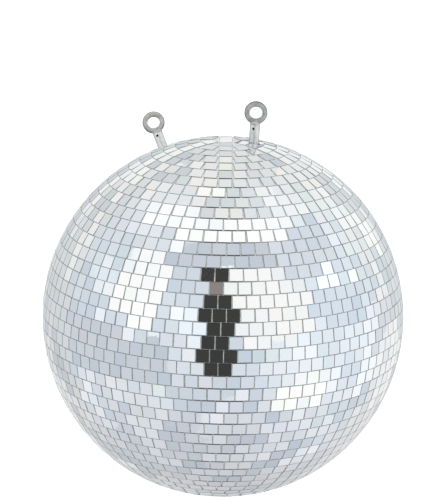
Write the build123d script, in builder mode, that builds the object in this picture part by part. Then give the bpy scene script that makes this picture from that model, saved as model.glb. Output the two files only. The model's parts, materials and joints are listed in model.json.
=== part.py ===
from build123d import *

import os
from math import atan, cos, floor, pi, radians, sin

# Mirror ball for stages and dance floors, 30 cm across. A hollow moulded core in two halves carries
# square glass facets in level rows, and two swivel eyes stand in its upper half. The origin is the
# ball's centre, +Z is the axis that the rows go round, and -Y is the front.

# Driving dimensions, millimetres and degrees
ball_radius = 150.0
facet_side = 10.0
facet_glass = 1.5
glue_film = 0.1
core_wall = 3.0
row_count = 45
least_gap = 0.6
aligned_rows = 8
front_azimuth = -90.0
golden_turn = 0.618034

lap_height = 5.0
lap_gap = 0.1

eye_height = 25.0
ring_radius = 9.4
ring_hole_radius = 5.15
ring_thickness = 5.0
ring_rounding = 1.6
ring_hole_chamfer = 0.4

sleeve_radius = 4.2
sleeve_top = 15.2
sleeve_edge = 0.3
shoulder_depth = 3.7
bore_radius = 2.68
bore_floor = 7.6
facet_clearance = 0.6

swivel_gap = 0.1
spigot_radius = 2.6
spigot_length = 7.2
collar_height = 1.6
neck_foot_radius = 3.8
neck_top_radius = 2.4
neck_top = 18.0
groove_radius = 1.7
groove_width = 2.4

screw_height = 12.3
screw_azimuth = -108.0
screw_radius = 1.02
screw_hole_radius = 1.05
screw_tip = 1.8
screw_head = 3.4
screw_slot_width = 0.45
screw_slot_depth = 0.5

boss_radius = 13.0
boss_depth = 9.2
stud_radius = 2.95
stud_hole_radius = 3.2
stud_end = 21.0
stud_chamfer = 0.6
plate_radius = 12.5
plate_thickness = 2.5
washer_radius = 5.4
washer_thickness = 1.6
nut_flats = 10.0
nut_height = 5.0
nut_bore_radius = 3.0

# Where each eye's axis crosses the facets' sphere, and where it points: polar angle and azimuth
eyes = {
    "main_eye": {"seat": (8.8, -8.9), "lean": (3.0, -23.6)},
    "safety_eye": {"seat": (30.5, 133.4), "lean": (31.5, 135.4)},
}

facet_back = ball_radius - facet_glass
core_radius = facet_back - glue_film
core_inner = core_radius - core_wall
lap_radius = core_radius - core_wall / 2
row_pitch = 180.0 / row_count


def direction(polar, azimuth):
    """The unit vector at a polar angle from +Z and an azimuth from +X, in degrees."""
    level = sin(radians(polar))
    return Vector(level * cos(radians(azimuth)), level * sin(radians(azimuth)), cos(radians(polar)))


def eye_seat(eye):
    """The plane on the facets' sphere that an eye stands on: its Z is the eye's axis."""
    return Plane(
        origin=direction(*eye["seat"]) * ball_radius,
        x_dir=(1, 0, 0),
        z_dir=direction(*eye["lean"]),
    )


def across(seat, height, azimuth=-90.0):
    """A plane on the eye's axis at a height above its seat, whose Z points out sideways."""
    place = Plane(origin=seat.origin + seat.z_dir * height, x_dir=seat.x_dir, z_dir=seat.z_dir)
    outward = place.x_dir * cos(radians(azimuth)) + place.y_dir * sin(radians(azimuth))
    return Plane(origin=place.origin, x_dir=seat.z_dir, z_dir=outward)


def save(piece, name):
    """Label a finished piece and write it as its own STEP file."""
    piece.part.label = name
    export_step(piece.part, f"parts/{name}.step", write_pcurves=False)


os.makedirs("parts", exist_ok=True)
seats = {name: eye_seat(eye) for name, eye in eyes.items()}

# Facets: one node per level row. Each facet is its own flat square of glass, tangent to the core.
# Those beside an eye are nipped to a round notch that clears its sleeve.
notch_radius = sleeve_radius + facet_clearance
notch_reach = 180.0 / pi * (notch_radius + facet_side) / ball_radius
facet_total = 0
for row in range(1, row_count + 1):
    polar = (row - 0.5) * row_pitch
    inner_edge = facet_back * sin(radians(polar)) - facet_side / 2 * abs(cos(radians(polar)))
    count = floor(pi / atan((facet_side + least_gap) / 2 / inner_edge))
    from_pole = min(row, row_count + 1 - row)
    turn = 0.0 if from_pole <= aligned_rows else (row * golden_turn) % 1.0
    start = front_azimuth + turn * 360.0 / count
    near = [seats[name] for name, eye in eyes.items() if abs(eye["seat"][0] - polar) < notch_reach]
    with BuildPart() as tile_row:
        with Locations((0, 0, facet_back * cos(radians(polar)))):
            with PolarLocations(facet_back * sin(radians(polar)), count, start_angle=start):
                Box(
                    facet_side,
                    facet_side,
                    facet_glass,
                    rotation=(0, polar, 0),
                    align=(Align.CENTER, Align.CENTER, Align.MIN),
                )
        for seat in near:
            with BuildSketch(seat.offset(-shoulder_depth)):
                Circle(notch_radius)
            extrude(amount=2 * shoulder_depth, mode=Mode.SUBTRACT)
    facet_total += len(tile_row.part.solids())
    save(tile_row, f"tile_row_{row:02d}")
print("facets:", facet_total)

# Core, upper half: a moulded shell with a rebate inside its rim and a solid boss under each eye
with BuildPart() as core_upper_half:
    with BuildSketch(Plane.XZ):
        with BuildLine():
            outer = CenterArc((0, 0), core_radius, 0, 90)
            inner = CenterArc((0, 0), core_inner, 0, 90)
            Line(outer @ 0, inner @ 0)
            Line(outer @ 1, inner @ 1)
        make_face()
    revolve(axis=Axis.Z)
    Cylinder(
        lap_radius + lap_gap / 2,
        lap_height + lap_gap,
        align=(Align.CENTER, Align.CENTER, Align.MIN),
        mode=Mode.SUBTRACT,
    )
    for seat in seats.values():
        with BuildSketch(seat.offset(-boss_depth)):
            Circle(boss_radius)
        extrude(amount=boss_depth - shoulder_depth)
        with BuildSketch(seat.offset(-shoulder_depth)):
            Circle(sleeve_radius + swivel_gap)
        extrude(amount=2 * shoulder_depth, mode=Mode.SUBTRACT)
        with BuildSketch(seat.offset(-boss_depth)):
            Circle(stud_hole_radius)
        extrude(amount=boss_depth, mode=Mode.SUBTRACT)
save(core_upper_half, "core_upper_half")

# Core, lower half: the same shell, whose inner lip stands up into the upper half's rebate
with BuildPart() as core_lower_half:
    with BuildSketch(Plane.XZ):
        with BuildLine():
            outer = CenterArc((0, 0), core_radius, -90, 90)
            inner = CenterArc((0, 0), core_inner, -90, 90)
            Line(outer @ 0, inner @ 0)
            Line(outer @ 1, inner @ 1)
        make_face()
    revolve(axis=Axis.Z)
    with BuildSketch():
        Circle(lap_radius - lap_gap / 2)
        Circle(core_inner, mode=Mode.SUBTRACT)
    extrude(amount=lap_height)
save(core_lower_half, "core_lower_half")

for name, seat in seats.items():
    # Sleeve: the eye's fixed shank. It is bored for the swivel and ends in a stud through the core.
    with BuildPart() as sleeve:
        with BuildSketch(seat.offset(-shoulder_depth)):
            Circle(sleeve_radius)
        extrude(amount=shoulder_depth + sleeve_top)
        top_rim = sleeve.faces().sort_by(Axis(seat.origin, seat.z_dir))[-1].edges()
        chamfer(top_rim, sleeve_edge)
        with BuildSketch(seat.offset(bore_floor)):
            Circle(bore_radius)
        extrude(amount=sleeve_top, mode=Mode.SUBTRACT)
        with BuildSketch(across(seat, screw_height, screw_azimuth)):
            Circle(screw_hole_radius)
        extrude(amount=2 * sleeve_radius, mode=Mode.SUBTRACT)
        with BuildSketch(seat.offset(-stud_end)):
            Circle(stud_radius)
        extrude(amount=stud_end - shoulder_depth)
        stud_rim = sleeve.faces().sort_by(Axis(seat.origin, seat.z_dir))[0].edges()
        chamfer(stud_rim, stud_chamfer)
    save(sleeve, f"{name}_sleeve")

    # Ring head: a thick rounded ring on a collar, with a grooved spigot that turns in the sleeve
    collar_foot = sleeve_top + swivel_gap
    with BuildPart() as ring:
        with BuildSketch(across(seat, eye_height)):
            Circle(ring_radius)
            Circle(ring_hole_radius, mode=Mode.SUBTRACT)
        extrude(amount=ring_thickness / 2, both=True)
        chamfer(ring.edges().filter_by(GeomType.CIRCLE).group_by(SortBy.RADIUS)[0], ring_hole_chamfer)
        fillet(ring.edges().filter_by(GeomType.CIRCLE).group_by(SortBy.RADIUS)[-1], ring_rounding)
        with BuildSketch(seat.offset(collar_foot)):
            Circle(sleeve_radius)
        extrude(amount=collar_height)
        with BuildSketch(seat.offset(collar_foot)):
            Circle(neck_foot_radius)
        with BuildSketch(seat.offset(neck_top)):
            Circle(neck_top_radius)
        loft()
        with BuildSketch(seat.offset(collar_foot - spigot_length)):
            Circle(spigot_radius)
        extrude(amount=spigot_length)
        with BuildSketch(seat.offset(screw_height - groove_width / 2)):
            Circle(bore_radius)
            Circle(groove_radius, mode=Mode.SUBTRACT)
        extrude(amount=groove_width, mode=Mode.SUBTRACT)
    save(ring, f"{name}_ring")

    # Retaining screw: sits below the sleeve's surface, with its tip in the spigot's groove
    with BuildPart() as screw:
        with BuildSketch(across(seat, screw_height, screw_azimuth).offset(screw_tip)):
            Circle(screw_radius)
        extrude(amount=screw_head - screw_tip)
        with BuildSketch(across(seat, screw_height, screw_azimuth).offset(screw_head)):
            Rectangle(screw_slot_width, 3 * screw_radius)
        extrude(amount=-screw_slot_depth, mode=Mode.SUBTRACT)
    save(screw, f"{name}_retaining_screw")

    # Load plate, spring washer and nut: they clamp the stud to the boss inside the core
    with BuildPart() as plate:
        with BuildSketch(seat.offset(-boss_depth)):
            Circle(plate_radius)
            Circle(stud_hole_radius, mode=Mode.SUBTRACT)
        extrude(amount=-plate_thickness)
    save(plate, f"{name}_load_plate")

    with BuildPart() as washer:
        with BuildSketch(seat.offset(-boss_depth - plate_thickness)):
            Circle(washer_radius)
            Circle(stud_hole_radius, mode=Mode.SUBTRACT)
        extrude(amount=-washer_thickness)
    save(washer, f"{name}_spring_washer")

    with BuildPart() as nut:
        with BuildSketch(seat.offset(-boss_depth - plate_thickness - washer_thickness)):
            RegularPolygon(nut_flats / 2, 6, major_radius=False)
            Circle(nut_bore_radius, mode=Mode.SUBTRACT)
        extrude(amount=-nut_height)
    save(nut, f"{name}_nut")
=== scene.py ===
# %% [markdown]
# # A mirror ball, dressed for the studio
# The ball is a hollow plastic core with rows of small square mirrors glued round it, 30 cm across in
# all, and two plated eyes to hang it by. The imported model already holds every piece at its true
# place, so this lesson keeps those places and gives the pieces their finish: ground edges on the
# glass, the small errors of hand laying, turned and cast metal, and a white studio for the mirrors
# to look at.

# %% Load the frame
import json
import math
import random

import bmesh
import bpy
from mathutils import Euler, Matrix, Quaternion, Vector


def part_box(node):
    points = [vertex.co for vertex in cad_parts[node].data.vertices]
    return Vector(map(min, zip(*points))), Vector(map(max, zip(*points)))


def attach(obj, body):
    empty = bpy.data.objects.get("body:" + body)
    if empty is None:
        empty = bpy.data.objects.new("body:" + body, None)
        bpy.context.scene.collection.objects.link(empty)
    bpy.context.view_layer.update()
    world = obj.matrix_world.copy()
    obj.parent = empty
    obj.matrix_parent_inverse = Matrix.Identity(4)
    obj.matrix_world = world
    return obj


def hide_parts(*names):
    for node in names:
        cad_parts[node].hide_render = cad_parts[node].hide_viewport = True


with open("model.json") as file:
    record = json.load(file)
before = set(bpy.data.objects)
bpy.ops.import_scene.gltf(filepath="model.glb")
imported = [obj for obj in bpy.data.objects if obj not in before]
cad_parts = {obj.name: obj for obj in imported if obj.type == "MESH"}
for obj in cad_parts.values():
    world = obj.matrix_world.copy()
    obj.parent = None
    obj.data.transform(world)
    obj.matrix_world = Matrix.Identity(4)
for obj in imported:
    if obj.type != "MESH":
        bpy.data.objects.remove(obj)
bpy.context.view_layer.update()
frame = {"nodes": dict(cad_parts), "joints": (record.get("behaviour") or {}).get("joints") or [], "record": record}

MM = 0.001
merge_distance = 0.001 * MM
eyes = ("main_eye", "safety_eye")
nodes = frame["nodes"]
row_names = sorted(name for name in nodes if name.startswith("tile_row_"))
ball_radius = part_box("tile_row_23")[1].x
print("rows of facets:", len(row_names), "ball radius:", round(ball_radius, 4))

# %% [markdown]
# ## Camera
# A mirror ball hangs above the eye, but its maker shows it from a little over its middle, so that
# both eyes stand against the white. The camera is set by angle, distance and lens. It aims a little
# over the ball's centre, which leaves room for the eyes, and it leans by one degree.

# %% Place the camera
camera_elevation = math.radians(16.0)
camera_distance = 1.77
camera_lens = 152.7
aim_above_centre = 0.0549
aim_left_of_centre = 0.0026
camera_roll = math.radians(1.0)

camera_back = Vector((0.0, -math.cos(camera_elevation), math.sin(camera_elevation)))
camera_up = Vector((0.0, math.sin(camera_elevation), math.cos(camera_elevation)))
aim = camera_up * aim_above_centre - Vector((aim_left_of_centre, 0.0, 0.0))
camera_data = bpy.data.cameras.new("studio_camera")
camera_data.lens = camera_lens
camera = bpy.data.objects.new("studio_camera", camera_data)
camera.location = camera_back * camera_distance
camera.rotation_mode = "QUATERNION"
camera.rotation_quaternion = (aim - camera.location).to_track_quat("-Z", "Y") @ Quaternion(
    (0, 0, 1), camera_roll
)
bpy.context.scene.collection.objects.link(camera)
bpy.context.scene.camera = camera
bpy.context.scene.view_settings.view_transform = "Standard"
print("camera at", [round(v, 3) for v in camera.location])

# %% [markdown]
# ## Small helpers
# Every piece is made in a bmesh and written to a mesh that sits at the origin, so that its place is
# in its points. The first helper below does that, and marks which edges stay sharp under smooth
# shading. The others start a material and make the few patterns of nodes that the finishes share,
# so that a finish later on reads as a list of what it looks like.


# %% Turn a bmesh into a piece
usual_sharp_angle = math.radians(35)


def make_piece(shape, name, materials, sharp_angle=usual_sharp_angle):
    """Write a bmesh to a new object at the origin, smooth apart from its sharp edges."""
    for face in shape.faces:
        face.smooth = True
    for edge in shape.edges:
        edge.smooth = len(edge.link_faces) == 2 and edge.calc_face_angle(0.0) < sharp_angle
    mesh = bpy.data.meshes.new(name)
    shape.to_mesh(mesh)
    shape.free()
    for material in materials:
        mesh.materials.append(material)
    piece = bpy.data.objects.new(name, mesh)
    bpy.context.scene.collection.objects.link(piece)
    return piece


# %% Start a material
def new_material(name, roughness=0.5, metallic=0.0):
    """A material with one Principled shader. Returns it, its node tree and that shader."""
    material = bpy.data.materials.new(name)
    material.use_nodes = True
    tree = material.node_tree
    shader = tree.nodes["Principled BSDF"]
    shader.inputs["Roughness"].default_value = roughness
    shader.inputs["Metallic"].default_value = metallic
    return material, tree, shader


# %% Read a pattern at its place on the object
def noise(tree, scale, detail=3.0, roughness=0.5):
    """A noise texture on Object coordinates, as many grains to the metre as the scale says."""
    place = tree.nodes.new("ShaderNodeTexCoord")
    texture = tree.nodes.new("ShaderNodeTexNoise")
    texture.inputs["Scale"].default_value = scale
    texture.inputs["Detail"].default_value = detail
    texture.inputs["Roughness"].default_value = roughness
    tree.links.new(place.outputs["Object"], texture.inputs["Vector"])
    return texture.outputs["Fac"]


# %% Read a number from the mesh
def read_number(tree, name):
    """A number that the mesh carries on its faces or points."""
    node = tree.nodes.new("ShaderNodeAttribute")
    node.attribute_name = name
    return node.outputs["Fac"]


# %% Turn a number into a colour or another number
def ramp(tree, value, stops):
    """A colour ramp. Each stop is (position, colour), and a plain number means a grey."""
    node = tree.nodes.new("ShaderNodeValToRGB")
    elements = node.color_ramp.elements
    while len(elements) < len(stops):
        elements.new(1.0)
    for element, (position, colour) in zip(elements, stops):
        element.position = position
        grey = isinstance(colour, (int, float))
        element.color = (*([colour] * 3 if grey else colour), 1.0)
    tree.links.new(value, node.inputs["Fac"])
    return node.outputs["Color"]


# %% Blend two colours
def mix(tree, first, second, factor=1.0, blend="MULTIPLY"):
    """Blend two colour outputs. The factor is a number or an output."""
    node = tree.nodes.new("ShaderNodeMix")
    node.data_type = "RGBA"
    node.blend_type = blend
    tree.links.new(first, node.inputs["A"])
    tree.links.new(second, node.inputs["B"])
    if isinstance(factor, (int, float)):
        node.inputs["Factor"].default_value = factor
    else:
        tree.links.new(factor, node.inputs["Factor"])
    return node.outputs["Result"]


# %% Raise a surface
def bump(tree, shader, height, depth):
    """Drive the shader's normal from a height between 0 and 1, over a depth in metres."""
    node = tree.nodes.new("ShaderNodeBump")
    node.inputs["Distance"].default_value = depth
    tree.links.new(height, node.inputs["Height"])
    tree.links.new(node.outputs["Normal"], shader.inputs["Normal"])


# %% [markdown]
# ## The studio: world
# A mirror shows nothing of its own, so the room is half of the ball. It could be a modelled room or
# a captured one. Here it is a painted white tent, which needs no file and can be tuned by height:
# bright cloth overhead, a cooler band round the ball and a greyer floor under it. Cloth panels hang
# unevenly, and a Voronoi pattern on the direction gives each one its own shade, so that neighbouring
# facets, which look in slightly different directions, differ as they do on a real ball.
#
# The tent is for the mirrors. A camera would show its patches hard and large behind the ball, so the
# Light Path node gives camera rays a plain pale backdrop in its place.

# %% Paint the tent on the world
panel_scale = 4.6


def paint_world():
    """A white tent for the mirrors, with panels, a window and a warm back, and a plain backdrop."""
    world = bpy.data.worlds.new("white_tent")
    bpy.context.scene.world = world
    world.use_nodes = True
    tree = world.node_tree
    place = tree.nodes.new("ShaderNodeTexCoord")
    split = tree.nodes.new("ShaderNodeSeparateXYZ")
    tree.links.new(place.outputs["Generated"], split.inputs["Vector"])
    height = tree.nodes.new("ShaderNodeMapRange")
    height.inputs["From Min"].default_value = -1.0
    tree.links.new(split.outputs["Z"], height.inputs["Value"])
    tent = ramp(
        tree,
        height.outputs["Result"],
        [
            (0.00, (0.58, 0.60, 0.64)),
            (0.08, (0.67, 0.69, 0.74)),
            (0.20, (0.75, 0.78, 0.83)),
            (0.35, (0.78, 0.82, 0.87)),
            (0.55, (0.80, 0.85, 0.90)),
            (0.80, (0.83, 0.87, 0.91)),
            (0.93, (0.94, 0.95, 0.96)),
            (1.00, (0.86, 0.855, 0.84)),
        ],
    )
    panels = tree.nodes.new("ShaderNodeTexVoronoi")
    panels.inputs["Scale"].default_value = panel_scale
    tree.links.new(place.outputs["Generated"], panels.inputs["Vector"])
    shades = tree.nodes.new("ShaderNodeSeparateColor")
    tree.links.new(panels.outputs["Color"], shades.inputs["Color"])
    patch = ramp(
        tree,
        shades.outputs["Red"],
        [
            (0.00, (0.82, 0.86, 0.90)),
            (0.30, (0.93, 0.96, 0.98)),
            (0.60, (1.03, 1.03, 1.03)),
            (1.00, (1.26, 1.25, 1.23)),
        ],
    )
    from_left = tree.nodes.new("ShaderNodeMapRange")
    from_left.inputs["From Min"].default_value = -1.0
    tree.links.new(split.outputs["X"], from_left.inputs["Value"])
    window = ramp(tree, from_left.outputs["Result"], [(0.0, 0.98), (0.6, 1.02), (0.85, 1.12)])
    behind = ramp(tree, split.outputs["Y"], [(0.15, (1.0, 1.0, 1.0)), (0.60, (0.94, 0.90, 0.85))])
    colour = mix(tree, mix(tree, mix(tree, tent, patch), window), behind)
    rays = tree.nodes.new("ShaderNodeLightPath")
    plain = ramp(tree, split.outputs["Z"], [(0.0, 0.93), (1.0, 0.86)])
    seen = mix(tree, colour, plain, rays.outputs["Is Camera Ray"], blend="MIX")
    tree.links.new(seen, tree.nodes["Background"].inputs["Color"])
    return world


paint_world()
print("world:", bpy.context.scene.world.name)

# %% [markdown]
# ## The studio: panels and flags
# Softboxes are bright cards, panels are blue ones and flags are dark ones. They could be painted on
# the tent too, but a card can be moved by its angles alone. Each card stands on a sphere round the
# ball and faces it, and only reflections see it. A tall flag stands behind the camera: without it
# the front facets would show nothing but white, and the ball would lose its shape.

# %% Stand a card in a direction
card_distance = 2.4


def stand_card(name, azimuth, elevation, width, height, colour, strength):
    """A glowing card that faces the ball. Angles are in degrees; azimuth 0 is the camera's side."""
    shape = bmesh.new()
    bmesh.ops.create_grid(shape, x_segments=1, y_segments=1, size=0.5)
    size = [2 * card_distance * math.tan(math.radians(angle / 2)) for angle in (width, height)]
    bmesh.ops.scale(shape, vec=(size[0], size[1], 1.0), verts=shape.verts)
    turn = Euler((math.radians(90 - elevation), 0.0, math.radians(azimuth))).to_matrix().to_4x4()
    place = turn @ Matrix.Translation((0.0, 0.0, card_distance))
    bmesh.ops.transform(shape, matrix=place, verts=shape.verts)
    material = bpy.data.materials.new(name)
    material.use_nodes = True
    tree = material.node_tree
    tree.nodes.clear()
    glow = tree.nodes.new("ShaderNodeEmission")
    glow.inputs["Color"].default_value = (*colour, 1.0)
    glow.inputs["Strength"].default_value = strength
    output = tree.nodes.new("ShaderNodeOutputMaterial")
    tree.links.new(glow.outputs["Emission"], output.inputs["Surface"])
    card = make_piece(shape, name, [material])
    card.visible_camera = False
    card.visible_shadow = False
    card.visible_diffuse = False
    return card


# Each card is a name, azimuth, elevation, width and height in degrees, then a colour and a strength.
white = (1.0, 1.0, 0.99)
cool = (0.86, 0.92, 1.0)
black = (0.052, 0.052, 0.048)
taupe = (0.30, 0.26, 0.25)
cards = [
    ("softbox_right", 33, 22, 48, 46, white, 1.01),
    ("softbox_left", -56, 24, 34, 40, white, 1.06),
    ("softbox_low_right", 54, -32, 24, 20, white, 1.08),
    ("softbox_over_left", -42, 69, 66, 14, white, 1.10),
    ("softbox_over_right", 25, 69, 60, 14, white, 1.08),
    ("panel_blue_left", -72, -15, 76, 26, cool, 0.74),
    ("panel_blue_right", 72, 42, 40, 24, cool, 0.86),
    ("panel_blue_front", 4, 54, 70, 13, cool, 0.74),
    ("flag_main", -3.8, 3.5, 20, 51, black, 1.0),
    ("flag_over", -3.5, 41.5, 14, 9, black, 1.0),
    ("flag_grey", -7, 33, 11, 7, taupe, 1.0),
]
for card in cards:
    stand_card(*card)
print("cards:", len(cards))

# %% [markdown]
# ## The studio: floor and light
# The floor is a wide pale sheet well below the ball. The backdrop alone would do for a picture, but
# a sheet gives views from above something to stand over. It is kept out of the mirrors, because the
# tent already shows them a greyer floor. A large soft lamp overhead makes the sheet white.

# %% Lay the floor and hang the lamp
floor_height = -0.75
floor_half_width = 30.0

shape = bmesh.new()
bmesh.ops.create_grid(shape, x_segments=1, y_segments=1, size=floor_half_width)
bmesh.ops.translate(shape, vec=(0.0, 0.0, floor_height), verts=shape.verts)
floor_material, _, floor_shader = new_material("floor_sheet", roughness=0.9)
floor_shader.inputs["Base Color"].default_value = (0.93, 0.93, 0.93, 1.0)
floor = make_piece(shape, "floor", [floor_material])
floor.visible_glossy = False


def hang_lamp(name, place, target, size, power):
    """A square soft lamp that points at a target and isn't seen in the mirrors."""
    data = bpy.data.lights.new(name, "AREA")
    data.shape = "SQUARE"
    data.size = size
    data.energy = power
    lamp = bpy.data.objects.new(name, data)
    lamp.location = place
    lamp.rotation_mode = "QUATERNION"
    lamp.rotation_quaternion = (Vector(target) - Vector(place)).to_track_quat("-Z", "Y")
    lamp.visible_glossy = False
    bpy.context.scene.collection.objects.link(lamp)
    return lamp


hang_lamp("lamp_over", place=(0.0, 5.0, 5.0), target=(0.0, 5.0, 0.0), size=16.0, power=700.0)
print("floor and lamp are set")

# %% [markdown]
# ## Facet glass
# A facet is a square of thin mirror. Its front could be clear glass over a silver face, which takes
# many more bounces of light. Here it is one metal shader with hardly any roughness, a faint smear of
# fingerprints and dust, and a very shallow wave, because cheap glass is never quite flat.
# Batches of glass differ in tint, so each facet carries a number of its own, the attribute
# facet_shade, and the colour reads it.
#
# Damp creeps under the silver from the cut edges and turns it dark. That takes a place on the facet
# itself, from 0 to 1 each way, which is the UV map facet_place. Some facets have dark sides by
# chance. The level sides are darkest along the front meridian, on the camera's side, where painted
# shade is added, and a number on the faces marks how much. The cut edge is a separate, duller material.

# %% Darken two sides of a facet
creep_start = 0.462
creep_full = 0.476


def border(tree, across, amount):
    """How dark the facet is along two opposite sides: the amount there, and 0 elsewhere."""
    centred = tree.nodes.new("ShaderNodeMath")
    centred.operation = "SUBTRACT"
    centred.inputs[1].default_value = 0.5
    tree.links.new(across, centred.inputs[0])
    distance = tree.nodes.new("ShaderNodeMath")
    distance.operation = "ABSOLUTE"
    tree.links.new(centred.outputs["Value"], distance.inputs[0])
    line = ramp(tree, distance.outputs["Value"], [(creep_start, 0.0), (creep_full, 1.0)])
    return mix(tree, line, amount)


# %% Make the mirror
wave_depth = 0.008 * MM


def mirror_finish():
    """Silvered glass with a tint for each facet, smears, a shallow wave, and dark edges from random creep and
    painted shade.
    """
    material, tree, shader = new_material("mirror_glass", metallic=1.0)
    shade = read_number(tree, "facet_shade")
    tint = ramp(
        tree,
        shade,
        [
            (0.00, (0.84, 0.88, 0.91)),
            (0.25, (0.90, 0.92, 0.94)),
            (0.50, (0.93, 0.94, 0.95)),
            (0.80, (0.96, 0.965, 0.96)),
            (0.90, (0.88, 0.93, 0.91)),
            (1.00, (0.96, 0.93, 0.94)),
        ],
    )
    dust = ramp(tree, noise(tree, 900.0, 4.0, 0.7), [(0.30, 0.93), (0.62, 1.0)])
    # Two draws for each facet say how dark its level sides and its upright sides are.
    chance = tree.nodes.new("ShaderNodeTexWhiteNoise")
    chance.noise_dimensions = "1D"
    tree.links.new(shade, chance.inputs["W"])
    draws = tree.nodes.new("ShaderNodeSeparateColor")
    tree.links.new(chance.outputs["Color"], draws.inputs["Color"])
    place = tree.nodes.new("ShaderNodeUVMap")
    place.uv_map = "facet_place"
    split = tree.nodes.new("ShaderNodeSeparateXYZ")
    tree.links.new(place.outputs["UV"], split.inputs["Vector"])
    # Painted shade: the facets' level sides darken along the front meridian, on the camera's side.
    painted_edge_shade = ramp(tree, read_number(tree, "painted_edge_shade"), [(0.12, 0.0), (0.60, 1.0)])
    stray = ramp(tree, draws.outputs["Red"], [(0.75, 0.0), (1.0, 0.40)])
    side_creep = ramp(tree, draws.outputs["Green"], [(0.72, 0.0), (1.0, 0.80)])
    level_creep_and_painted_shade = mix(tree, painted_edge_shade, stray, blend="LIGHTEN")
    upright = border(tree, split.outputs["X"], side_creep)
    level_creep_and_shade = border(tree, split.outputs["Y"], level_creep_and_painted_shade)
    # The dark sides are partly random creep and partly painted shade.
    dark = ramp(tree, mix(tree, upright, level_creep_and_shade, blend="LIGHTEN"), [(0.0, 1.0), (1.0, 0.05)])
    tree.links.new(mix(tree, mix(tree, tint, dust), dark), shader.inputs["Base Color"])
    smear = ramp(tree, noise(tree, 60.0, 5.0, 0.65), [(0.42, 0.012), (0.78, 0.05)])
    tree.links.new(smear, shader.inputs["Roughness"])
    bump(tree, shader, noise(tree, 140.0, 1.0), wave_depth)
    return material


mirror_glass = mirror_finish()
print("made", mirror_glass.name)


# %% Make the cut edge of the glass
def edge_finish():
    """The ground edge of a facet: frosted grey-green glass, darkened with painted shade along the front meridian.
    """
    material, tree, shader = new_material("glass_edge", roughness=0.35)
    colour = ramp(
        tree,
        noise(tree, 1500.0, 3.0),
        [(0.30, (0.26, 0.28, 0.29)), (0.70, (0.46, 0.49, 0.50))],
    )
    # Painted shade: the cut edges darken along the front meridian, on the camera's side.
    painted_side_shade = ramp(tree, read_number(tree, "painted_edge_shade"), [(0.0, 1.0), (1.0, 0.30)])
    tree.links.new(mix(tree, colour, painted_side_shade), shader.inputs["Base Color"])
    bump(tree, shader, noise(tree, 2500.0, 2.0), 0.05 * MM)
    return material


glass_edge = edge_finish()
print("made", glass_edge.name)

# %% [markdown]
# ## Facets
# The facets could be one sphere with a pattern of squares, but then they would mirror the room as
# one smooth ball does. Each has to be flat and a little out of true. So each row starts as a copy of
# its CAD row, whose loose triangles are merged and dissolved into plain boxes, one for each facet.
# Every facet is then nudged as a glued one is: a tilt that is mostly under a degree, a slight twist
# and a slight slide. By an eye, where a facet is nipped to fit, it may tilt up to four times as far.
# Its front rim is bevelled last, so that the rim catches a thin line of light, as a ground edge does.


# %% Find the separate facets of a row
def islands(shape):
    """The sets of points that hang together, in a fixed order."""
    shape.verts.ensure_lookup_table()
    seen = set()
    found = []
    for start in shape.verts:
        if start in seen:
            continue
        seen.add(start)
        group = [start]
        for point in group:
            for edge in point.link_edges:
                other = edge.other_vert(point)
                if other not in seen:
                    seen.add(other)
                    group.append(other)
        found.append(group)
    return found


# %% Nudge one facet as a hand would leave it
tilt_spread = math.radians(0.8)
twist_spread = math.radians(0.7)
slide_spread = 0.08 * MM
sink = 0.05 * MM
draw_spread = 0.5
draw_limit = 2.0
eye_reach = 38 * MM
eye_tilt = 3.0
eye_seats = [Vector(joint["pos_m"]) for joint in frame["joints"]]


def nearness(place):
    """1 at an eye's seat, falling to 0 at the eye's reach."""
    distance = min((place - seat).length for seat in eye_seats)
    return max(0.0, 1.0 - distance / eye_reach)


def lay_by_hand(shape, points, chance):
    """Tilt, twist and slide one facet about its own middle. Those by an eye lie less true."""
    middle = sum((point.co for point in points), Vector()) / len(points)
    outward = middle.normalized()
    along = outward.orthogonal().normalized()
    across = outward.cross(along)
    tilt = tilt_spread * (1.0 + eye_tilt * nearness(middle))
    turns = ((along, tilt), (across, tilt), (outward, twist_spread))
    for axis, spread in turns:
        draw = max(-draw_limit, min(draw_limit, chance.gauss(0.0, draw_spread)))
        turn = Matrix.Rotation(draw * spread, 3, axis)
        bmesh.ops.rotate(shape, cent=middle, matrix=turn, verts=points)
    slide = along * chance.uniform(-1, 1) + across * chance.uniform(-1, 1)
    bmesh.ops.translate(shape, vec=slide * slide_spread - outward * sink, verts=points)


# %% Find how much painted shade a face gets by the front meridian
painted_shade_band_width = 22 * MM


def in_painted_shade_band(place):
    """How much painted shade a face gets: 1 on the front meridian and 0 well away from it."""
    return math.exp(-((place.x / painted_shade_band_width) ** 2)) if place.y < 0 else 0.0


# %% Build one row
facet_side = 10.0 * MM
rim_width = 0.05 * MM
rim_sharp_angle = math.radians(20)
same_plane = math.radians(1.0)
least_front = 0.6
least_mirror = 0.99


def east_of(place):
    """The level direction along a row at a place on the ball."""
    return Vector((-place.y, place.x, 0.0)).normalized()


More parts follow.
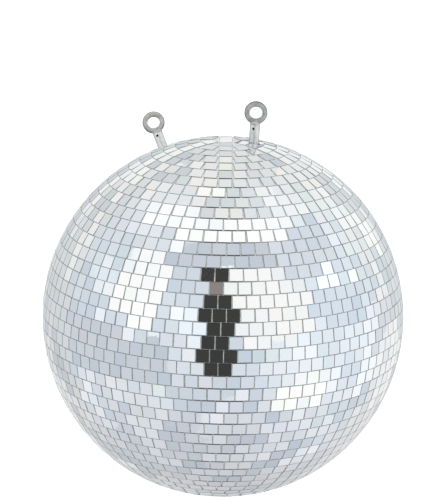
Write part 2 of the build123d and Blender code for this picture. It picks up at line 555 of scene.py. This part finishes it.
def facet_row(name, chance):
    """A row of glass facets that stands for the CAD row of that name."""
    shape = bmesh.new()
    shape.from_mesh(nodes[name].data)
    bmesh.ops.remove_doubles(shape, verts=shape.verts, dist=merge_distance)
    bmesh.ops.dissolve_limit(
        shape, angle_limit=same_plane, verts=shape.verts, edges=shape.edges
    )
    shade = shape.faces.layers.float.new("facet_shade")
    painted_edge_shade = shape.faces.layers.float.new("painted_edge_shade")
    front = shape.faces.layers.int.new("front")
    shape.loops.layers.uv.new("facet_place")
    for points in islands(shape):
        lay_by_hand(shape, points, chance)
        number = chance.random()
        for face in {face for point in points for face in point.link_faces}:
            middle = face.calc_center_median()
            upright_side = abs(face.normal.dot(east_of(middle)))
            face[shade] = number
            # Level sides near the front meridian are marked for painted shade.
            face[painted_edge_shade] = in_painted_shade_band(middle) * (1.0 - upright_side)
            face[front] = face.normal.dot(middle.normalized()) > least_front
    rim = list({edge for face in shape.faces if face[front] for edge in face.edges})
    bmesh.ops.bevel(
        shape,
        geom=rim,
        offset=rim_width,
        offset_type="OFFSET",
        segments=2,
        profile=0.5,
        affect="EDGES",
        material=-1,
        clamp_overlap=True,
    )
    place = shape.loops.layers.uv["facet_place"]
    for face in shape.faces:
        middle = face.calc_center_median()
        outward = middle.normalized()
        face.material_index = 0 if face.normal.dot(outward) > least_mirror else 1
        east = east_of(middle)
        north = outward.cross(east)
        for loop in face.loops:
            reach = (loop.vert.co - middle) / facet_side
            loop[place].uv = (0.5 + reach.dot(east), 0.5 + reach.dot(north))
    shape.faces.layers.int.remove(shape.faces.layers.int["front"])
    row = make_piece(shape, "facets_" + name[-2:], [mirror_glass, glass_edge], rim_sharp_angle)
    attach(row, "ball")
    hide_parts(name)
    return row


# %% Lay every row
laying_seed = 30
chance = random.Random(laying_seed)
rows = [facet_row(name, chance) for name in row_names]
print("facet faces:", sum(len(row.data.polygons) for row in rows))

# %% [markdown]
# ## Core
# The core is two shells of grey moulded plastic, dull and slightly blotchy where adhesive has dried
# on it. The facets and the adhesive hide nearly all of it, so new geometry would be wasted. The two
# CAD shells keep their shape and get this finish.


# %% Make the core's finish
def core_finish():
    """Grey plastic with blotches of dried adhesive."""
    material, tree, shader = new_material("core_plastic")
    colour = ramp(
        tree,
        noise(tree, 180.0, 4.0, 0.6),
        [(0.35, (0.20, 0.20, 0.195)), (0.55, (0.25, 0.25, 0.245)), (0.75, (0.32, 0.32, 0.31))],
    )
    tree.links.new(colour, shader.inputs["Base Color"])
    gloss = ramp(tree, noise(tree, 90.0, 3.0), [(0.35, 0.45), (0.7, 0.8)])
    tree.links.new(gloss, shader.inputs["Roughness"])
    bump(tree, shader, noise(tree, 700.0, 3.0), 0.2 * MM)
    return material


def dress(name, material):
    """Give a CAD node its finish and leave its shape alone."""
    mesh = nodes[name].data
    mesh.materials.clear()
    mesh.materials.append(material)


core_plastic = core_finish()
for name in ("core_upper_half", "core_lower_half"):
    dress(name, core_plastic)
print("core dressed")

# %% [markdown]
# ## Eyes
# Each eye is a ring on a collar, whose spigot turns inside a bored sleeve. A torus would be quick,
# but this ring has flat sides and a rounded rim. So a rounded block section is spun round the hole,
# and the collar, neck and spigot are one turned profile spun round the shank. A Boolean joins the
# two, as the casting does. The joint and mount of the record give the axis and the ring's centre,
# so no place is typed in twice.

# %% Dimensions of an eye
ring_radius = 9.4 * MM
ring_hole_radius = 5.15 * MM
ring_thickness = 5.0 * MM
ring_outer_round = 1.75 * MM
ring_inner_round = 0.7 * MM
sleeve_radius = 4.2 * MM
sleeve_top = 15.2 * MM
shoulder_depth = 3.7 * MM
bore_radius = 2.68 * MM
bore_floor = 7.6 * MM
sleeve_soft_edge = 0.35 * MM
spigot_radius = 2.6 * MM
spigot_length = 7.2 * MM
collar_foot = 15.3 * MM
collar_height = 1.6 * MM
neck_profile = ((3.7 * MM, 0.2 * MM), (3.0 * MM, 0.9 * MM))
neck_top_radius = 2.4 * MM
neck_overlap = 1.8 * MM
groove_height = 12.3 * MM
groove_width = 2.4 * MM
groove_radius = 1.7 * MM
stud_radius = 2.95 * MM
stud_end = 21.0 * MM
screw_radius = 1.05 * MM
screw_hole_start = 0.4 * MM
screw_azimuth = math.radians(-108.0)

mounts = {mount["name"]: mount for mount in frame["record"]["mounts"]}
joints = {joint["name"]: joint for joint in frame["joints"]}


def eye_place(eye):
    """The eye's frame as a matrix: origin on its seat, Z along its shank, -Y out of its face."""
    joint = joints[eye + "_swivel"]
    up = Vector(joint["axis"]).normalized()
    front = Vector(mounts[eye + "_hole"]["axis"])
    side = (-front).cross(up).normalized()
    turn = Matrix((side, up.cross(side), up)).transposed().to_4x4()
    return Matrix.Translation(Vector(joint["pos_m"])) @ turn


for eye in eyes:
    print(eye, "stands at", [round(v, 4) for v in eye_place(eye).translation])


# %% Spin a turned profile
def turned(profile, softened=(), soft=0.25 * MM, steps=64):
    """Spin a profile of (radius, height) points round Z. Softened points get a small round."""
    shape = bmesh.new()
    points = [shape.verts.new((radius, 0.0, height)) for radius, height in profile]
    for first, second in zip(points, points[1:]):
        shape.edges.new((first, second))
    if softened:
        bmesh.ops.bevel(
            shape,
            geom=[points[index] for index in softened],
            offset=soft,
            offset_type="OFFSET",
            segments=3,
            profile=0.5,
            affect="VERTICES",
            material=-1,
        )
    bmesh.ops.spin(
        shape,
        geom=shape.verts[:] + shape.edges[:],
        cent=(0, 0, 0),
        axis=(0, 0, 1),
        angle=math.tau,
        steps=steps,
        use_merge=True,
    )
    bmesh.ops.remove_doubles(shape, verts=shape.verts, dist=merge_distance)
    bmesh.ops.recalc_face_normals(shape, faces=shape.faces)
    return shape


# %% Spin the ring of an eye
def ring_shape(height):
    """A rounded block section spun round the ring's own axis, at a height on the shank."""
    shape = bmesh.new()
    bmesh.ops.create_grid(shape, x_segments=1, y_segments=1, size=0.5)
    depth = ring_radius - ring_hole_radius
    middle = ring_hole_radius + depth / 2
    bmesh.ops.scale(shape, vec=(depth, ring_thickness, 1.0), verts=shape.verts)
    bmesh.ops.translate(shape, vec=(middle, 0, 0), verts=shape.verts)
    for outer, size in ((True, ring_outer_round), (False, ring_inner_round)):
        corners = [point for point in shape.verts if (point.co.x > middle) == outer]
        bmesh.ops.bevel(
            shape,
            geom=corners,
            offset=size,
            offset_type="OFFSET",
            segments=6,
            profile=0.5,
            affect="VERTICES",
            material=-1,
        )
    bmesh.ops.delete(shape, geom=shape.faces[:], context="FACES_ONLY")
    bmesh.ops.spin(
        shape,
        geom=shape.verts[:] + shape.edges[:],
        cent=(0, 0, 0),
        axis=(0, 1, 0),
        angle=math.tau,
        steps=96,
        use_merge=True,
    )
    bmesh.ops.remove_doubles(shape, verts=shape.verts, dist=merge_distance)
    bmesh.ops.recalc_face_normals(shape, faces=shape.faces)
    bmesh.ops.translate(shape, vec=(0, 0, height), verts=shape.verts)
    return shape


# %% Join or cut with a Boolean
def boolean(shape, tool, operation):
    """Apply one bmesh to another with an exact Boolean. Both are used up."""
    holders = []
    for number, part in enumerate((shape, tool)):
        mesh = bpy.data.meshes.new(f"boolean_{number}")
        part.to_mesh(mesh)
        part.free()
        holders.append(bpy.data.objects.new(f"boolean_{number}", mesh))
        bpy.context.scene.collection.objects.link(holders[-1])
    modifier = holders[0].modifiers.new("boolean", "BOOLEAN")
    modifier.operation = operation
    modifier.solver = "EXACT"
    modifier.object = holders[1]
    graph = bpy.context.evaluated_depsgraph_get()
    made = bpy.data.meshes.new_from_object(holders[0].evaluated_get(graph))
    result = bmesh.new()
    result.from_mesh(made)
    for holder in holders:
        bpy.data.objects.remove(holder)
    bpy.data.meshes.remove(made)
    bmesh.ops.remove_doubles(result, verts=result.verts, dist=merge_distance)
    return result


# %% [markdown]
# ## Adhesive
# The facets are pressed into a light grey adhesive, which squeezes up between them and stops a
# little short of their faces. In the joints it is what keeps the lines between the facets grey
# rather than black. It could fill each joint by itself, but only its face shows there, so one
# sphere just under the facets' faces does for all. It stays back from the eyes, which need a clear
# seat.

# %% Measure the adhesive
adhesive_depth = 0.65 * MM
eye_pocket_radius = 4.8 * MM
eye_pocket_depth = 3.0 * MM


# %% Make the adhesive's finish
def adhesive_finish():
    """Light grey adhesive: satin, lumpy and a little dirty."""
    material, tree, shader = new_material("adhesive")
    colour = ramp(
        tree,
        noise(tree, 320.0, 4.0, 0.6),
        [(0.30, (0.40, 0.40, 0.39)), (0.55, (0.56, 0.56, 0.55)), (0.75, (0.70, 0.70, 0.69))],
    )
    tree.links.new(colour, shader.inputs["Base Color"])
    gloss = ramp(tree, noise(tree, 200.0, 2.0), [(0.35, 0.35), (0.7, 0.6)])
    tree.links.new(gloss, shader.inputs["Roughness"])
    bump(tree, shader, noise(tree, 1200.0, 3.0), 0.15 * MM)
    return material


# %% Spread the adhesive
def adhesive_skin():
    """The adhesive's outer face: one sphere, with a pocket at each eye."""
    shape = bmesh.new()
    radius = ball_radius - adhesive_depth
    bmesh.ops.create_uvsphere(shape, u_segments=192, v_segments=96, radius=radius)
    for eye in eyes:
        cutter = bmesh.new()
        bmesh.ops.create_cone(
            cutter,
            cap_ends=True,
            segments=48,
            radius1=eye_pocket_radius,
            radius2=eye_pocket_radius,
            depth=2 * eye_pocket_depth,
        )
        bmesh.ops.transform(cutter, matrix=eye_place(eye), verts=cutter.verts)
        shape = boolean(shape, cutter, "DIFFERENCE")
    skin = make_piece(shape, "adhesive_bed", [adhesive_finish()])
    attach(skin, "ball")
    return skin


adhesive = adhesive_skin()
print("adhesive faces:", len(adhesive.data.polygons))

# %% [markdown]
# ## Eye metal
# The ring is a casting with a dull nickel skin: metal, a medium roughness that comes and goes, soft
# pits under the plating, and darker stains. The sleeve is the same metal, turned, so its grain is
# finer and shallower. One function makes both, and both read Object coordinates. The outer rim of
# the ring, and a little of the rim of its hole, are darkened with painted shade. That follows the
# shape and not a pattern, so the mesh carries it, as a number on its points.


# %% Make the eye's metal
def eye_finish(name, dark, middle, bright, grain, pits):
    """Dull nickel plate over cast or turned metal, with painted shade where the mesh marks it."""
    material, tree, shader = new_material(name, metallic=1.0)
    stain = ramp(
        tree,
        noise(tree, 260.0, 5.0, 0.6),
        [(0.30, dark), (0.52, middle), (0.75, bright)],
    )
    # Painted shade: the ring's rims, as the mesh marks them, darken towards a brownish grey.
    painted_rim_shade = ramp(tree, read_number(tree, "painted_rim_shade"), [(0.0, 1.0), (1.0, (0.42, 0.40, 0.38))])
    tree.links.new(mix(tree, stain, painted_rim_shade), shader.inputs["Base Color"])
    shader.inputs["Specular Tint"].default_value = (0.10, 0.10, 0.10, 1.0)
    gloss = ramp(tree, noise(tree, 500.0, 4.0, 0.6), [(0.3, 0.36), (0.7, 0.54)])
    tree.links.new(gloss, shader.inputs["Roughness"])
    bump(tree, shader, noise(tree, grain, 3.0, 0.6), pits)
    return material


cast_nickel = eye_finish(
    "cast_nickel", (0.46, 0.455, 0.43), (0.66, 0.655, 0.63), (0.80, 0.795, 0.77), 900.0, 0.18 * MM
)
turned_nickel = eye_finish(
    "turned_nickel", (0.66, 0.655, 0.63), (0.80, 0.795, 0.77), (0.90, 0.895, 0.88), 2600.0, 0.05 * MM
)
print("made", cast_nickel.name, turned_nickel.name)


# %% Mark where the ring gets painted shade
rim_shade_from = 0.15
hole_rim_shade = 0.3
rim_shade_foot = 1.0 * MM


def mark_painted_rim_shade(shape, ring_height, neck_top):
    """Painted shade: 1 on the ring's outer rim, a little on the rim of its hole, and 0 off the ring."""
    painted_rim_shade = shape.verts.layers.float.new("painted_rim_shade")
    half_depth = (ring_radius - ring_hole_radius) / 2
    for point in shape.verts:
        radius = math.hypot(point.co.x, point.co.z - ring_height)
        off_middle = (radius - ring_radius + half_depth) / half_depth
        if off_middle > 0:
            rim_shade = (off_middle - rim_shade_from) / (1 - rim_shade_from)
        else:
            rim_shade = hole_rim_shade * -off_middle
        on_ring = point.co.z > neck_top - rim_shade_foot
        point[painted_rim_shade] = max(0.0, min(1.0, rim_shade)) * on_ring


# %% Build the ring head
# A ring would show again, as a dark spot, in the facets at its foot. It is hidden from every mirror
# to keep those facets clear. Delete the visible_glossy line for what real light would do.
def ring_head(eye):
    """The ring with its collar, neck and grooved spigot, on the eye's swivelling body."""
    ring_height = (Vector(mounts[eye + "_hole"]["pos_m"]) - eye_place(eye).translation).length
    collar_top = collar_foot + collar_height
    neck_top = ring_height - ring_hole_radius - neck_overlap
    profile = [
        (0.0, collar_foot - spigot_length),
        (spigot_radius, collar_foot - spigot_length),
        (spigot_radius, groove_height - groove_width / 2),
        (groove_radius, groove_height - groove_width / 2),
        (groove_radius, groove_height + groove_width / 2),
        (spigot_radius, groove_height + groove_width / 2),
        (spigot_radius, collar_foot),
        (sleeve_radius, collar_foot),
        (sleeve_radius, collar_top),
        *((radius, collar_top + rise) for radius, rise in neck_profile),
        (neck_top_radius, neck_top),
        (0.0, neck_top),
    ]
    shape = boolean(ring_shape(ring_height), turned(profile, softened=(1, 7, 8)), "UNION")
    mark_painted_rim_shade(shape, ring_height, neck_top)
    bmesh.ops.transform(shape, matrix=eye_place(eye), verts=shape.verts)
    head = make_piece(shape, eye + "_head", [cast_nickel])
    head.visible_glossy = False
    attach(head, eye)
    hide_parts(eye + "_ring")
    return head


heads = [ring_head(eye) for eye in eyes]
print("ring heads:", [len(head.data.polygons) for head in heads])


# %% Build the sleeve
def sleeve_piece(eye):
    """The fixed shank: bored from the top, drilled for its screw, and turned down to a stud."""
    profile = [
        (0.0, -stud_end),
        (stud_radius, -stud_end),
        (stud_radius, -shoulder_depth),
        (sleeve_radius, -shoulder_depth),
        (sleeve_radius, sleeve_top),
        (bore_radius, sleeve_top),
        (bore_radius, bore_floor),
        (0.0, bore_floor),
    ]
    shape = turned(profile, softened=(1, 3, 4, 5), soft=sleeve_soft_edge)
    drill = bmesh.new()
    bmesh.ops.create_cone(
        drill,
        cap_ends=True,
        segments=32,
        radius1=screw_radius,
        radius2=screw_radius,
        depth=2 * sleeve_radius,
    )
    bmesh.ops.translate(drill, vec=(0, 0, screw_hole_start + sleeve_radius), verts=drill.verts)
    lie = Matrix.Rotation(screw_azimuth, 4, "Z") @ Matrix.Rotation(math.radians(90), 4, "Y")
    place = Matrix.Translation((0, 0, groove_height)) @ lie
    bmesh.ops.transform(drill, matrix=place, verts=drill.verts)
    shape = boolean(shape, drill, "DIFFERENCE")
    bmesh.ops.transform(shape, matrix=eye_place(eye), verts=shape.verts)
    sleeve = make_piece(shape, eye + "_shank", [turned_nickel])
    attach(sleeve, "ball")
    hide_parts(eye + "_sleeve")
    return sleeve


sleeves = [sleeve_piece(eye) for eye in eyes]
print("sleeves:", [len(sleeve.data.polygons) for sleeve in sleeves])

# %% [markdown]
# ## Fasteners
# The retaining screws sit in the sleeves' side holes. The load plates, spring washers and nuts are
# inside the core, where only the workshop sees them. They could all be built again, but at this
# size the CAD shapes already have what shows, so they keep them. The screws are black and the rest
# is zinc plated.


# %% Make the zinc plate and dress the fasteners
def zinc_finish():
    """Bright zinc plate with its faint spangle."""
    material, tree, shader = new_material("zinc_plate", metallic=1.0)
    colour = ramp(
        tree,
        noise(tree, 700.0, 4.0, 0.7),
        [(0.3, (0.38, 0.39, 0.40)), (0.7, (0.66, 0.67, 0.68))],
    )
    tree.links.new(colour, shader.inputs["Base Color"])
    gloss = ramp(tree, noise(tree, 400.0, 3.0), [(0.3, 0.25), (0.7, 0.42)])
    tree.links.new(gloss, shader.inputs["Roughness"])
    bump(tree, shader, noise(tree, 1800.0, 2.0), 0.04 * MM)
    return material


def black_finish():
    """Black oxide on a small steel screw: nearly matt, with worn grey patches."""
    material, tree, shader = new_material("black_oxide", roughness=0.5, metallic=0.6)
    colour = ramp(tree, noise(tree, 1500.0, 3.0), [(0.35, 0.012), (0.7, 0.05)])
    tree.links.new(colour, shader.inputs["Base Color"])
    bump(tree, shader, noise(tree, 3000.0, 2.0), 0.03 * MM)
    return material


zinc_plate = zinc_finish()
black_oxide = black_finish()
for eye in eyes:
    dress(eye + "_retaining_screw", black_oxide)
    for kind in ("load_plate", "spring_washer", "nut"):
        dress(f"{eye}_{kind}", zinc_plate)
print("fasteners dressed")
